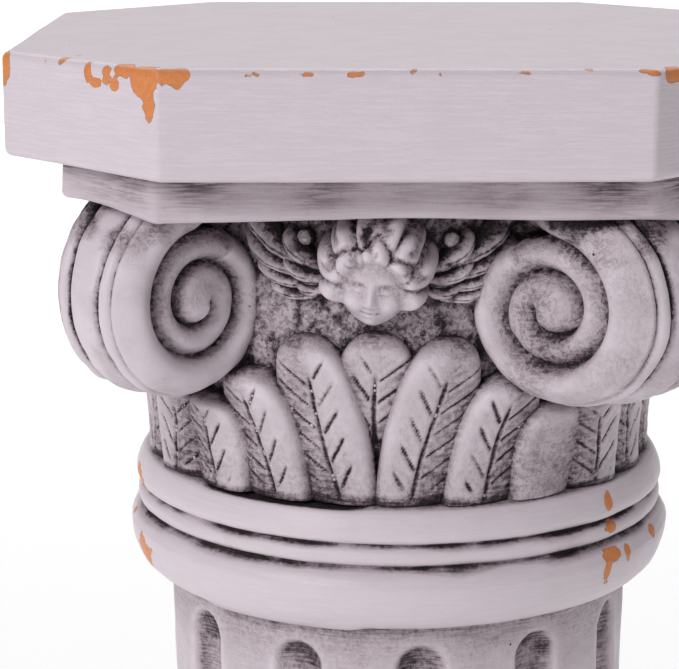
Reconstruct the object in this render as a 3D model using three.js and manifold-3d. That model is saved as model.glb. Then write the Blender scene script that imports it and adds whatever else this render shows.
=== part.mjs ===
// Pedestal plant stand: a cut-cornered top slab on a capital with corner volutes, winged heads and leaves,
// which stands on a fluted column with a moulded collar and base.
// Millimetres, +Z up. The origin is the middle of the underside and the front faces -Y.
import * as THREE from "three";
import { mergeVertices } from "three/addons/utils/BufferGeometryUtils.js";
import Module from "manifold-3d";

const wasm = await Module();
wasm.setup();

const DEGREE = Math.PI / 180;

// Driving sizes: heights are of the surface named, from the floor up.
const TOTAL_HEIGHT = 660;
const SLAB = { thick: 40, half: 150, flat: 87, soften: 3 };
const ABACUS = { thick: 17, half: 128, flat: 91, hollow: 4, soften: 2 };
const CAPITAL_FOOT = 488.5;
const CAPITAL_TURN = -5.5 * DEGREE; // the ornament stands a little askew under the slab
const JOINT_GAP = 0.3;

// The ground of the capital, behind leaves and heads.
const BELL = { foot: 96, waist: 98, top: 97, waistHeight: 530, intoAbacus: 5 };

// Volutes: the spiral's groove starts over the rim and ends round the eye.
const VOLUTE = {
  reach: 120, // axis of the column to the middle of the spiral, along the diagonal
  middle: 566, // height of the middle of the spiral
  outer: 42, // radius of the spiral where it leaves the abacus
  eye: 10, // radius where its groove ends
  start: -35 * DEGREE,
  end: 900 * DEGREE,
  depth: 5, // of the groove
  eyes: [27, 31], // from the diagonal to the eye of each face
  bandHalf: 13, // half the width of the broad band round the rim
  bandCrown: 2.8,
  bandGroove: 0.8,
  splay: [-5 * DEGREE, 17 * DEGREE], // of the two faces, wider towards the column
  sink: 14, // how far the band's beginning lies under the face
  sinkEnd: 5 * DEGREE, // where the band has come up to the face
};

// Leaves: six stand on each side of the capital, with a seventh behind the middle pair.
const LEAF = {
  half: 15.5, // half the greatest width
  foot: 0.76, // share of it at the foot
  blunt: 6.5, // power of the tip's curve
  edge: 3, // out from the bell
  raise: 4, // of the edge nearer the middle of the side
  crown: 2, // of the pillow between the edges
  groove: 1.8, // depth of the midrib
  curl: 6, // of the tip, outwards
  root: 84, // radius inside the bell that ornament is rooted at
};
const LEAF_ROWS = [
  { foot: 7.5, lean: 8.5, tip: 554 },
  { foot: 22.5, lean: 7, tip: 539 },
  { foot: 37.5, lean: 2.5, tip: 526 },
];
const BACK_LEAF_TIP = 556;

// Heads under the slab, with a cap of curled locks, and the wings beside them.
const HEAD = { middle: 580, out: 100, halfWide: 18, halfDeep: 18, halfTall: 22, jaw: 0.22 };
const HAIR = { thick: 4, locks: 8 };
const FACE = [
  // shares of the half sizes across and up, the width of a soft swelling, and how far it stands out
  { across: 0, up: -0.1, wide: 0.18, rise: 3 }, // nose
  { across: 0.42, up: -0.3, wide: 0.3, rise: 1.6 }, // cheeks
  { across: 0, up: -0.7, wide: 0.22, rise: 1.4 }, // chin
  { across: 0.32, up: 0.05, wide: 0.16, rise: -1.6 }, // eye hollows
];
const WING = { root: 9, rootHeight: 578, length: 35, thick: 7, from: -20, to: 66 };
const FEATHERS = { count: 4, scallop: 0.14 };

// Collar, shaft and base: the profile of the column.
const COLLAR = [
  // radius, and depth under the top of the collar
  [104, 0], // seat of the capital
  [109, 4], // upper ring
  [111, 9],
  [110, 12.5],
  [108.5, 14.5], // crease
  [110.5, 16.5], // thin ring
  [110.5, 21],
  [108.5, 23.5], // crease
  [111.8, 26], // shoulder of the ovolo
];
const OVOLO = { radius: 113.5, crest: 459, fullness: 0.8 };
const SHAFT = { radius: 96, top: 438, foot: 118 };
const FLUTES = { count: 12, first: 5, half: 10, depth: 6.5, top: 429, foot: 138 };
const BASE = {
  fillet: { radius: 99, height: 112 },
  ring: { crest: 106, edge: 100, top: 110, foot: 97 },
  torus: { crest: 121, edge: 104, top: 96, foot: 54 },
};
const PLINTH = { half: 132, flat: 78, thick: 54, soften: 3, bite: 0.5 }; // bite: into the torus

const slabFoot = TOTAL_HEIGHT - SLAB.thick;
const abacusFoot = slabFoot - ABACUS.thick;

const paint = new THREE.MeshStandardMaterial({ color: "#c9bdc5", roughness: 0.62, metalness: 0 });

// Makes a closed body out of a geometry, with its faces turned outwards.
function solid(geometry) {
  const bare = new THREE.BufferGeometry().setAttribute("position", geometry.getAttribute("position"));
  bare.setIndex(geometry.getIndex());
  const merged = mergeVertices(bare, 1e-3);
  const corners = [];
  for (let i = 0; i < merged.index.count; i += 3) {
    const [a, b, c] = [0, 1, 2].map((k) => merged.index.getX(i + k));
    if (a !== b && b !== c && c !== a) corners.push(a, b, c);
  }
  const places = merged.getAttribute("position").array;
  const volume = corners.reduce((sum, _, i) => (i % 3 ? sum : sum + tripleProduct(places, corners, i)), 0);
  if (volume < 0) corners.reverse();
  const triVerts = new Uint32Array(corners);
  return new wasm.Manifold(new wasm.Mesh({ numProp: 3, vertProperties: places, triVerts }));
}

// Six times the volume of the tetrahedron from the origin to one triangle.
function tripleProduct(places, corners, i) {
  const [a, b, c] = [0, 1, 2].map((k) => new THREE.Vector3().fromArray(places, 3 * corners[i + k]));
  return a.dot(b.cross(c));
}

function namedMesh(name, body) {
  const { vertProperties, triVerts } = body.getMesh();
  const geometry = new THREE.BufferGeometry();
  geometry.setAttribute("position", new THREE.BufferAttribute(vertProperties, 3));
  geometry.setIndex(new THREE.BufferAttribute(triVerts, 1));
  geometry.computeVertexNormals();
  const mesh = new THREE.Mesh(geometry, paint);
  mesh.name = name;
  return mesh;
}

// A point at an azimuth from the front (-Y), growing towards +X.
function around(azimuth, radius, height) {
  return new THREE.Vector3(radius * Math.sin(azimuth), -radius * Math.cos(azimuth), height);
}

function steps(from, to, count) {
  return Array.from({ length: count + 1 }, (_, i) => from + ((to - from) * i) / count);
}

function smooth(from, to, x) {
  return THREE.MathUtils.smoothstep(x, from, to);
}

function geometryOf(points, corners) {
  return new THREE.BufferGeometry().setFromPoints(points).setIndex(corners);
}

// A closed body between an outer and an inner surface, both given over the same grid of two parameters.
function slabBetween(alongs, acrosses, outer, inner) {
  const wide = acrosses.length;
  const points = [outer, inner].flatMap((face) => alongs.flatMap((u) => acrosses.map((v) => face(u, v))));
  const far = alongs.length * wide;
  const corners = [];
  const quad = (a, b, c, d) => corners.push(a, b, c, a, c, d);
  for (let i = 0; i + 1 < alongs.length; i++) {
    for (let j = 0; j + 1 < wide; j++) {
      const k = i * wide + j;
      quad(k, k + 1, k + wide + 1, k + wide);
      quad(far + k, far + k + wide, far + k + wide + 1, far + k + 1);
    }
    const left = i * wide;
    const right = left + wide - 1;
    quad(left, left + wide, far + left + wide, far + left);
    quad(right, far + right, far + right + wide, right + wide);
  }
  const last = far - wide;
  for (let j = 0; j + 1 < wide; j++) {
    quad(j, far + j, far + j + 1, j + 1);
    quad(last + j, last + j + 1, far + last + j + 1, far + last + j);
  }
  return geometryOf(points, corners);
}

// A square with cut corners, its sides hollowed by a shallow curve.
function cutSquare(half, flat, hollow) {
  const shape = new THREE.Shape();
  shape.moveTo(-flat, -half);
  for (let side = 0; side < 4; side++) {
    const turn = (x, y) => new THREE.Vector2(x, y).rotateAround(new THREE.Vector2(), side * 90 * DEGREE);
    const middle = turn(0, -half + 2 * hollow);
    const end = turn(flat, -half);
    const next = turn(half, -flat);
    if (hollow) shape.quadraticCurveTo(middle.x, middle.y, end.x, end.y);
    else shape.lineTo(end.x, end.y);
    if (side < 3) shape.lineTo(next.x, next.y);
  }
  return shape;
}

// The cut square as a slab with softened edges, from one height to another.
function softSlab({ half, flat, hollow = 0, soften }, foot, top) {
  const geometry = new THREE.ExtrudeGeometry(cutSquare(half, flat, hollow), {
    depth: top - foot - 2 * soften,
    curveSegments: 6,
    bevelSize: soften,
    bevelOffset: -soften,
    bevelThickness: soften,
    bevelSegments: 2,
  });
  return solid(geometry.translate(0, 0, foot + soften));
}

// Radius of the capital's ground at a height.
function bellRadius(height) {
  const { foot, waist, top, waistHeight } = BELL;
  if (height < waistHeight) return THREE.MathUtils.mapLinear(height, CAPITAL_FOOT, waistHeight, foot, waist);
  return THREE.MathUtils.mapLinear(height, waistHeight, abacusFoot, waist, top);
}

function turned(profile, segments) {
  const points = profile.map(([radius, height]) => new THREE.Vector2(radius, height));
  return solid(new THREE.LatheGeometry(points, segments).rotateX(90 * DEGREE));
}

function bell() {
  const heights = [CAPITAL_FOOT + JOINT_GAP, BELL.waistHeight, abacusFoot + BELL.intoAbacus];
  const wall = heights.map((height) => [bellRadius(height), height]);
  return turned([[0, heights[0]], ...wall, [0, heights[2]]], 24);
}

// A leaf is a rounded tongue up the bell. Its edge nearer the middle of the side stands proud of the next
// leaf, and a groove marks its midrib. side is +1 or -1, and 0 for the leaf behind.
function leaf(sideAzimuth, { foot, lean, tip }, side, lift) {
  const place = (s, v, out) => {
    const height = CAPITAL_FOOT + JOINT_GAP + s * (tip - CAPITAL_FOOT);
    const taper = LEAF.foot + (1 - LEAF.foot) * smooth(0, 0.5, s);
    const half = LEAF.half * Math.sqrt(1 - s ** LEAF.blunt) * taper;
    const azimuth = sideAzimuth + side * (foot + lean * s) * DEGREE - (side || 1) * v * (half / BELL.waist);
    return around(azimuth, out, height);
  };
  const outer = (s, v) => {
    const pillow = LEAF.crown * (1 - v * v) - LEAF.groove * (v === 0) * (s < 0.9);
    const proud = side ? (LEAF.raise * (1 + v)) / 2 : 0;
    const curl = LEAF.curl * s ** 3;
    const height = CAPITAL_FOOT + s * (tip - CAPITAL_FOOT);
    return place(s, v, bellRadius(height) + LEAF.edge + lift + pillow + proud + curl);
  };
  const inner = (s, v) => place(s, v, LEAF.root);
  const heights = [0, 0.5, 0.84, 0.98];
  const shares = side ? [-1, -0.1, 0, 0.1, 1] : [-1, 0, 1];
  return solid(slabBetween(heights, shares, outer, inner));
}

// Radius of the spiral's groove at an angle from straight up, outwards and down.
function spiralRadius(angle) {
  return VOLUTE.outer + ((VOLUTE.eye - VOLUTE.outer) * angle) / VOLUTE.end;
}

// A scroll on one corner: two faces with a spiral groove between soft bands, and a moulded rim between them.
function volute(cornerAzimuth) {
  const perTurn = 14;
  const acrossBand = [0, 0.28, 0.72];
  const stepAngle = (360 * DEGREE) / perTurn;
  const bandSteps = Math.round((VOLUTE.end - VOLUTE.start) / stepAngle) - perTurn;
  const outwards = around(cornerAzimuth, 1, 0);
  const sideways = around(cornerAzimuth + 90 * DEGREE, 1, 0);
  const points = [];
  const corners = [];
  const add = (angle, radius, aside) => {
    const out = VOLUTE.reach + radius * Math.sin(angle);
    const place = outwards.clone().multiplyScalar(out).addScaledVector(sideways, aside);
    place.z = VOLUTE.middle + radius * Math.cos(angle);
    return points.push(place) - 1;
  };
  const quad = (a, b, c, d) => corners.push(a, b, c, a, c, d);
  // Half the width of the scroll to one face, at a place on the spiral and a depth under its crest.
  const faceAside = (face, angle, radius, under) => {
    const inwards = -radius * Math.sin(angle);
    const sink = VOLUTE.sink * (1 - smooth(VOLUTE.start, VOLUTE.sinkEnd, angle));
    return VOLUTE.eyes[face] + inwards * Math.tan(VOLUTE.splay[face]) - under - sink;
  };
  const grids = [0, 1].map((face) => {
    const sign = face ? -1 : 1;
    const grid = [];
    for (let i = 0; i <= bandSteps + perTurn; i++) {
      const angle = VOLUTE.start + i * stepAngle;
      const banded = i <= bandSteps ? acrossBand : [0];
      const width = spiralRadius(angle) - spiralRadius(angle + 360 * DEGREE);
      grid.push(
        banded.map((s) => {
          const radius = spiralRadius(angle) - s * width;
          const under = VOLUTE.depth * Math.abs(2 * s - 1) ** 2.2;
          return add(angle, radius, sign * faceAside(face, angle, radius, under));
        }),
      );
    }
    const bandEnd = (i) => grid[i + perTurn][0];
    const row = (i) => [...grid[i], bandEnd(i)];
    for (let i = 0; i < bandSteps; i++) {
      const [here, next] = [row(i), row(i + 1)];
      for (let j = 0; j + 1 < here.length; j++) {
        if (face) quad(here[j], here[j + 1], next[j + 1], next[j]);
        else quad(here[j], next[j], next[j + 1], here[j + 1]);
      }
    }
    const loop = [];
    for (let i = bandSteps; i <= bandSteps + perTurn; i++) loop.push(grid[i][0]);
    loop.push(...grid[bandSteps].slice(1).reverse());
    const middle = add(0, 0, sign * faceAside(face, 360 * DEGREE, 0, 0));
    loop.forEach((here, k) => {
      const next = loop[(k + 1) % loop.length];
      if (face) corners.push(here, middle, next);
      else corners.push(here, next, middle);
    });
    return grid;
  });
  // The outline of the scroll, once round and back down the step where its band begins.
  const outline = (face) => {
    const edge = steps(0, perTurn, perTurn).map((i) => grids[face][i][0]);
    return [...edge, ...grids[face][0].slice(1).reverse()];
  };
  const [near, far] = [outline(0), outline(1)];
  const crossings = near.map((start, k) => {
    const [a, b] = [points[start], points[far[k]]];
    const wide = a.distanceTo(b);
    const moulding = [
      [0.5 - VOLUTE.bandHalf / wide, -VOLUTE.bandGroove],
      [0.5, VOLUTE.bandCrown],
      [0.5 + VOLUTE.bandHalf / wide, -VOLUTE.bandGroove],
    ];
    const axis = outwards.clone().multiplyScalar(VOLUTE.reach).setZ(VOLUTE.middle);
    const inner = moulding.map(([share, rise]) => {
      const place = a.clone().lerp(b, share);
      const away = place.clone().sub(axis).addScaledVector(sideways, -place.dot(sideways)).normalize();
      return points.push(place.addScaledVector(away, k <= perTurn ? rise : 0)) - 1;
    });
    return [start, ...inner, far[k]];
  });
  crossings.forEach((here, k) => {
    const next = crossings[(k + 1) % crossings.length];
    for (let j = 0; j + 1 < here.length; j++) quad(here[j], here[j + 1], next[j + 1], next[j]);
  });
  return solid(geometryOf(points, corners));
}

// A rounded child's head with a full cap of hair: an egg with its pole facing outwards, soft swellings for
// the face, and a rim of locks that stop at the jaw.
function head(sideAzimuth) {
  const egg = new THREE.SphereGeometry(1, 2 * HAIR.locks, 10);
  const place = egg.getAttribute("position");
  const outwards = around(sideAzimuth, 1, 0);
  const across = around(sideAzimuth + 90 * DEGREE, 1, 0);
  for (let i = 0; i < place.count; i++) {
    const { x, y: deep, z: up } = new THREE.Vector3().fromBufferAttribute(place, i);
    const spread = Math.hypot(x, up);
    const lock = 0.6 + 0.4 * Math.cos(HAIR.locks * Math.atan2(x, up));
    const aboveJaw = smooth(-0.85, -0.3, up / (spread || 1));
    const hair = HAIR.thick * lock * smooth(0.5, 0.8, spread) * aboveJaw;
    const face = FACE.reduce((sum, swelling) => {
      const off = Math.hypot(Math.abs(x) - swelling.across, up - swelling.up) / swelling.wide;
      return sum + swelling.rise * Math.exp(-off * off);
    }, 0);
    const proud = hair + face * smooth(-0.2, 0.3, deep);
    const narrow = 1 - HEAD.jaw * smooth(0.1, 1, -up);
    const at = outwards.clone().multiplyScalar(HEAD.out + deep * (HEAD.halfDeep + proud));
    at.addScaledVector(across, x * narrow * (HEAD.halfWide + proud));
    place.setXYZ(i, at.x, at.y, HEAD.middle + up * (HEAD.halfTall + hair));
  }
  return solid(egg);
}

// A wing beside a head: a fan of ridged feathers with scalloped ends.
function wing(sideAzimuth, side) {
  const rays = steps(0, 1, 2 * FEATHERS.count);
  const ridge = (share) => Math.abs(Math.sin(Math.PI * FEATHERS.count * share));
  const place = (reach, share, out) => {
    const angle = (WING.from + (WING.to - WING.from) * share) * DEGREE;
    const scallop = 1 - FEATHERS.scallop * (1 - ridge(share));
    const length = WING.length * scallop * (1 - 0.3 * share * share) * reach;
    const azimuth = sideAzimuth + side * (WING.root * DEGREE + (length * Math.cos(angle)) / BELL.waist);
    return around(azimuth, out, WING.rootHeight + length * Math.sin(angle));
  };
  const outer = (reach, share) => place(reach, share, BELL.top + WING.thick * (0.6 + 0.4 * ridge(share)));
  const inner = (reach, share) => place(reach, share, LEAF.root);
  return solid(slabBetween([0.12, 1], rays, outer, inner));
}

function capital() {
  let body = bell().add(softSlab(ABACUS, abacusFoot, slabFoot));
  for (let quarter = 0; quarter < 4; quarter++) {
    const side = CAPITAL_TURN + quarter * 90 * DEGREE;
    body = body.add(volute(side + 45 * DEGREE)).add(head(side));
    body = body.add(leaf(side, { foot: 0, lean: 0, tip: BACK_LEAF_TIP }, 0, 0));
    for (const hand of [-1, 1]) {
      body = body.add(wing(side, hand));
      LEAF_ROWS.forEach((row, rank) => {
        body = body.add(leaf(side, row, hand, 1 + rank));
      });
    }
  }
  return body;
}

// A half-round swelling between two heights of the profile, as points from the top down.
function bulge({ crest, edge, top, foot }, count) {
  return steps(-1, 1, count).map((share) => {
    const height = (top + foot) / 2 - (share * (top - foot)) / 2;
    return [edge + (crest - edge) * Math.sqrt(1 - share * share), height];
  });
}

function columnProfile() {
  const collar = COLLAR.map(([radius, depth]) => [radius, CAPITAL_FOOT - depth]);
  const ovolo = steps(0, 90 * DEGREE, 4).map((turn) => {
    const proud = (OVOLO.radius - SHAFT.radius) * Math.max(0, Math.cos(turn)) ** OVOLO.fullness;
    return [SHAFT.radius + proud, OVOLO.crest - (OVOLO.crest - SHAFT.top) * Math.sin(turn)];
  });
  return [
    [0, CAPITAL_FOOT],
    ...collar,
    ...ovolo,
    [SHAFT.radius, SHAFT.foot],
    [BASE.fillet.radius, BASE.fillet.height],
    ...bulge(BASE.ring, 3),
    ...bulge(BASE.torus, 4),
    [0, BASE.torus.foot],
  ];
}

function flute(index) {
  const azimuth = (FLUTES.first + (index * 360) / FLUTES.count) * DEGREE;
  const radius = (FLUTES.half ** 2 + FLUTES.depth ** 2) / (2 * FLUTES.depth);
  const ends = steps(0, 90 * DEGREE, 2);
  const straight = FLUTES.top - FLUTES.foot - 2 * FLUTES.half;
  const cap = ends.map((turn) => [radius * Math.sin(turn), -radius * Math.cos(turn)]);
  const profile = [...cap, ...cap.map(([r, h]) => [r, straight - h]).reverse()];
  const points = profile.map(([r, h]) => new THREE.Vector2(r, h));
  const cutter = new THREE.LatheGeometry(points, 10).rotateX(90 * DEGREE);
  const at = around(azimuth, SHAFT.radius - FLUTES.depth + radius, FLUTES.foot + FLUTES.half);
  return solid(cutter.translate(at.x, at.y, at.z));
}

function column() {
  const plinth = softSlab(PLINTH, 0, PLINTH.thick + PLINTH.bite);
  let body = turned(columnProfile().reverse(), 32).add(plinth);
  for (let index = 0; index < FLUTES.count; index++) body = body.subtract(flute(index));
  return body;
}

const stand = new THREE.Group();
stand.add(namedMesh("top_slab", softSlab(SLAB, slabFoot + JOINT_GAP, TOTAL_HEIGHT)));
stand.add(namedMesh("capital", capital()));
stand.add(namedMesh("column", column()));

export default stand;
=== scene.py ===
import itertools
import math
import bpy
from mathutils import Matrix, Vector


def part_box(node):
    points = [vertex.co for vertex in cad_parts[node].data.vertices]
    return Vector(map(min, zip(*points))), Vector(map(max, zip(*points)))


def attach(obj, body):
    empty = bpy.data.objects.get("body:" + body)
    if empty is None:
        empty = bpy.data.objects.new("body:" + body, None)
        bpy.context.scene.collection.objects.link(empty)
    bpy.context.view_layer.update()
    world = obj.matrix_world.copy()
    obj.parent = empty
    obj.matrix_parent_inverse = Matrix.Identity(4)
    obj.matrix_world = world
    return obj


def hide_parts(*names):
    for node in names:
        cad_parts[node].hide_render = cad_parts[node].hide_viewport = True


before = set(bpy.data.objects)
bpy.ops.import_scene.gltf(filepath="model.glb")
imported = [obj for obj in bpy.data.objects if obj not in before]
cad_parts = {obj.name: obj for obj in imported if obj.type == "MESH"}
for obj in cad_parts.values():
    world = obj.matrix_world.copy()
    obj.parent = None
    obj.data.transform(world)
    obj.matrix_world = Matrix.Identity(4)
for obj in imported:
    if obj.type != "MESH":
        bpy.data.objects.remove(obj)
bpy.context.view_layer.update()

# Pedestal plant stand: a cut-cornered slab on a capital with corner volutes, winged heads and leaves, which
# stands on a fluted column. Sizes are in millimetres; meshes are in metres. The front faces -Y.
from types import SimpleNamespace

import bpy
import numpy as np
from mathutils import Vector

MM = 0.001
DEGREE = math.pi / 180
TURN = 2 * math.pi


def node_heights(node):
    """Foot and top of a CAD node."""
    low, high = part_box(node)
    return low.z / MM, high.z / MM


SLAB_FOOT, SLAB_TOP = node_heights("top_slab")
CAPITAL_FOOT, CAPITAL_TOP = node_heights("capital")
COLUMN_FOOT, COLLAR_TOP = node_heights("column")

# Slab, abacus and plinth: half the width and half of a straight side, hollow of the sides, rounding of edges
# and of corners, step between points, how far the faces and the lower edge stray, flare of the foot, and
# darkening, partly wash and partly painted shade under an overhang
SLAB = SimpleNamespace(
    half=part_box("top_slab")[1].x / MM, flat=87, hollow=0, soften=3.2, corner=4, step=2,
    wave=0.35, sag=0.4, flare=0, wash_and_shade=0,
)
# The abacus's darkening is partly wash and partly painted shade from the slab above
ABACUS = SimpleNamespace(
    half=128, flat=91, hollow=4, soften=3, corner=6, step=2.2, thick=17,
    wave=1.1, sag=4, flare=0.8, wash_and_shade=0.48,
)
ABACUS_FOOT = CAPITAL_TOP - ABACUS.thick
PLINTH = SimpleNamespace(
    half=132, flat=78, hollow=0, soften=3.2, corner=4, step=5, wave=0.3, sag=0, flare=0, wash_and_shade=0,
)
PLINTH_TOP = 54.5

# The capital and its ornament, which reaches back into the bell to the root radius
CAPITAL_TURN = -5.5 * DEGREE
ROOT_RADIUS = 84
BELL = SimpleNamespace(foot=96, waist=98, top=97, waist_height=530)
VOLUTE = SimpleNamespace(
    reach=120, middle=566, outer=42, eye=6, start=-35 * DEGREE, end=1012 * DEGREE, depth=7.5,
    eyes=(28, 32), splay=(-5 * DEGREE, 17 * DEGREE), sink=14, sink_end=5 * DEGREE,
    off_middle=4.5, eye_rise=3, inner_step=2, below_abacus=24,
    band_share=0.54, band_crown=2.8, fillet_share=0.95, fillet_crown=1.7, groove_depth=2.2,
)
LEAF = SimpleNamespace(half=17.2, foot=0.88, blunt=6.5, edge=3, proud=4, crown=2, curl=6, bury=2)
LEAF_ROWS = (
    SimpleNamespace(foot=7.5, lean=8.5, tip=554),
    SimpleNamespace(foot=22.5, lean=7, tip=539),
    SimpleNamespace(foot=37.5, lean=2.5, tip=526),
)
BACK_LEAF = SimpleNamespace(foot=0, lean=0, tip=556)
# Pairs are for the half of a leaf further from the middle of its side, and for the nearer half
VEIN = SimpleNamespace(
    rib_depth=1.6, rib_half=0.85, depth=1.2, half=0.75, pitch=9.5, swell=0.8,
    steep=(0.85, 1.45), spacing=(0.9, 1.15), reach=(0.9, 0.58), weakest=(0.7, 0.6),
)
HEAD = SimpleNamespace(
    middle=580, out=100, half_wide=16.5, half_deep=18, half_tall=22, jaw=0.2,
    tilt=6 * DEGREE, nod=18 * DEGREE,
)
HAIR = SimpleNamespace(
    thick=-1, curl=7.5, crease=0.8, swirl=0.8, spread=0.4, brow_locks=3, brow_end=52 * DEGREE,
    rim_locks=8, rim_end=104 * DEGREE, stray=0.05, seed=57,
)
MOULD_HOLE = SimpleNamespace(across=-0.2, up=0.78, half=0.09, depth=3)
WING = SimpleNamespace(root=9, root_height=576, bend=24, scallop=0.3, bury=3)
FEATHER_ROWS = (
    SimpleNamespace(count=4, length=44, thick=6, low=-32, high=10),
    SimpleNamespace(count=3, length=24.64, thick=8.5, low=-36, high=16),
)
WING_KNOB = SimpleNamespace(away=16 * DEGREE, out=99, height=591, radius=3.6, etch=0.35)

# The column; the collar's points are a radius and a depth below the column's top
JOINT_DIP = SimpleNamespace(depth=1.3, start=-48 * DEGREE, end=-6 * DEGREE)
COLLAR = (
    (60, 0), (95, 0), (106.5, 0), (109.3, 4), (111, 9), (110.4, 12.5), (107.2, 14.5), (110.3, 16.5),
    (110.6, 20.8), (107.2, 23.2), (111.8, 26),
)
CREASE_DEPTHS = (14.5, 23.2)
OVOLO = SimpleNamespace(radius=113.5, crest=459, fullness=0.8)
SHAFT = SimpleNamespace(radius=96, top=438, foot=118)
FLUTES = SimpleNamespace(count=12, first=5, half=11, depth=6.5, top=430, foot=137, worn=0.4)
BASE_FILLET = (99, 112)
BASE_RING = SimpleNamespace(crest=106, edge=100, top=110, foot=97)
BASE_TORUS = SimpleNamespace(crest=121, edge=104, top=96, foot=54)

# Unevenness of the castings: noises by height and size in mm and by seed. The slabs' heights are shares of
# their own wave
SLAB_WAVES = ((1, 55, 1), (0.5, 21, 2), (0.2, 6, 3))
SAG_WAVE = SimpleNamespace(size=48, seed=1855)
BELL_PITS = ((1, 5, 11), (0.7, 2.6, 12))
LEAF_LUMPS = ((0.55, 9, 21), (0.2, 3, 22))
VOLUTE_LUMPS = ((0.7, 16, 31), (0.3, 6, 34), (0.15, 3, 32))
WING_LUMPS = ((0.9, 6, 51), (0.6, 2.6, 52))
COLUMN_WAVES = ((0.8, 42, 41), (0.35, 13, 42), (0.12, 4, 43))
BLISTER_LEAST = 0.65
LEAF_BLISTERS = SimpleNamespace(count=40, largest=1.0, seed=50)
VOLUTE_BLISTERS = SimpleNamespace(count=48, largest=1.7, seed=60)

# Darkening of each kind of surface, from 0 to 1: mostly wash that was left on it, and painted shade where
# a part lies under an overhang or a neighbour's edge, in a gap or turned from the key light
LEAF_WASH_AND_SHADE = SimpleNamespace(blade=0.16, far_half_wash_and_shade=0.2, behind=0.24, plain=0.29, foot=0.5, tip=0.3, edge=0.75)
# For the scroll right of the front the extra darkening is painted shade, as it faces away from the key light;
# below the abacus the darkening is partly wash and partly painted shade under the abacus
VOLUTE_WASH_AND_SHADE = SimpleNamespace(
    face=0.14, inner=0.12, groove=0.2, beside=0.15, rim=0.1, rim_groove=0.9, run=0.7, mottle=0.16, right=0.1,
)
# Under the ovolo the darkening is partly painted shade from its overhang, in the slit it is painted shade in
# the gaping joint, and on the shaft it is even
COLUMN_WASH_AND_SHADE = SimpleNamespace(shaft=0.14, under_ovolo_wash_and_shade=0.22, flute=0.24, joint=0.35, painted_slit_shade=0.65)

# How the wash gathers: the grid's cell and two blurs in mm, how strongly hollows hold it and edges lose it,
# the most that an edge counts, and where hollows and edges begin
GATHER = SimpleNamespace(
    cell=1.6, tight=1.9, broad=8.0, hollow=1.8, edge=0.9, most_edge=0.3, from_hollow=0.03, from_edge=0.05,
)

# How plainly the level brush strokes show on each piece; where they are faint, the casting's own pits show
BRUSHED = {
    "slab": 1.0, "abacus": 1.0, "plinth": 0.8, "fluted_column": 0.65, "corner_volutes": 0.35,
    "bell_heads_wings": 0.15,
}
LEAVES_BRUSHED = 0.5

# The paint's patterns, in mm: noises by the size of their grains and their roughness, strokes along and up,
# and cells that hold a hole each
GRAINS = {
    "blotches of wash": (17, 0.62), "crags": (5, 0.7), "pits": (1.8, 0.65), "chip edges": (5.5, 0.4),
    "grit": (0.9, 0.5),
}
STROKE = SimpleNamespace(long=16, high=0.9)
CRATER_CELL = 4.5
PINHOLE = SimpleNamespace(cell=26, radius=0.55)

# Chips through the paint: middle, and how far each reaches along x, y and z
CHIPS = (
    ((-92, -146, 657), (6.5, 7, 9)),
    ((-90, -150, 648), (2.6, 5, 9)),
    ((-81, -150, 658), (7, 4, 3.8)),
    ((-99, -137, 659), (5, 6, 3)),
    ((-102.5, -134.5, 653), (2.6, 2.6, 2.4)),
    ((-106, -131, 656.5), (2, 2, 3.8)),
    ((-110, -127, 653), (2.8, 2.8, 1.7)),
    ((-113.5, -123.5, 657), (2, 2, 3.8)),
    ((-148.5, -88, 654), (3.5, 4, 7.5)),
    ((89, -150, 660), (10, 3, 2.2)),
    ((96, -144, 658), (7, 6, 3)),
    ((-107.5, -26, 477.5), (4, 11, 4.6)),
    ((-104.5, -43, 450), (5, 9, 8)),
    ((-110.5, -19.5, 461.5), (2, 3, 1.6)),
    ((82, -74.7, 483), (3, 3.2, 3.4)),
    ((83.5, -72.6, 471.5), (3.4, 3.6, 3)),
    ((80.5, -78, 456), (2.6, 2.8, 7)),
    ((83.3, -75.2, 461), (4.6, 4.6, 2.4)),
    ((90.5, -68, 459), (2, 2.2, 4.4)),
    ((103.5, -45.5, 463), (2.2, 3.4, 4.2)),
)
# Scuffs along the slab's upper edge, given as chips are, and their depth: only ragged specks break through
SCUFFS = (
    ((-47, -149, 659), (17, 2, 1.6)),
    ((-20, -149, 659), (5, 2, 1.6)),
    ((7, -149, 659), (9, 2, 1.6)),
    ((64, -149, 659), (22, 2, 1.6)),
    ((-132, -105, 659), (16, 16, 1.2)),
)
SCUFF_DEPTH = -0.2
FAR_FROM_CHIPS = -2.0


def smooth(low, high, x):
    """0 below low, 1 above high, and a soft S between them; with low above high it falls instead."""
    share = np.clip((x - low) / (high - low), 0, 1)
    return share * share * (3 - 2 * share)


def hump(x, width):
    """A bell curve, 1 where x is 0."""
    return np.exp(-((x / width) ** 2))


def corner_blend(place):
    """For places measured in cells: the eight corners of each place's cell, with their shares of it."""
    cell = np.floor(place).astype(np.int64)
    share = place - cell
    for step in itertools.product((0, 1), repeat=3):
        yield cell + step, np.prod(np.where(step, share, 1 - share), axis=-1)


def noise(points, size, seed):
    """Soft noise from -1 to 1: a random value at each corner of a cubic lattice, blended between them. Three
    primes mix a corner's whole numbers into its place in the list of values."""
    values = np.random.default_rng(seed).uniform(-1, 1, 4093)
    place = points / size
    cell = np.floor(place)
    place = cell + smooth(0, 1, place - cell)
    total = np.zeros(points.shape[:-1])
    for corner, weight in corner_blend(place):
        mixed = (corner[..., 0] * 73856093) ^ (corner[..., 1] * 19349663) ^ (corner[..., 2] * 83492791)
        total += weight * values[mixed % len(values)]
    return total


def unevenness(points, waves):
    """Noises added up, each with its own height, size and seed."""
    return sum(height * noise(points, size, seed) for height, size, seed in waves)


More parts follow.
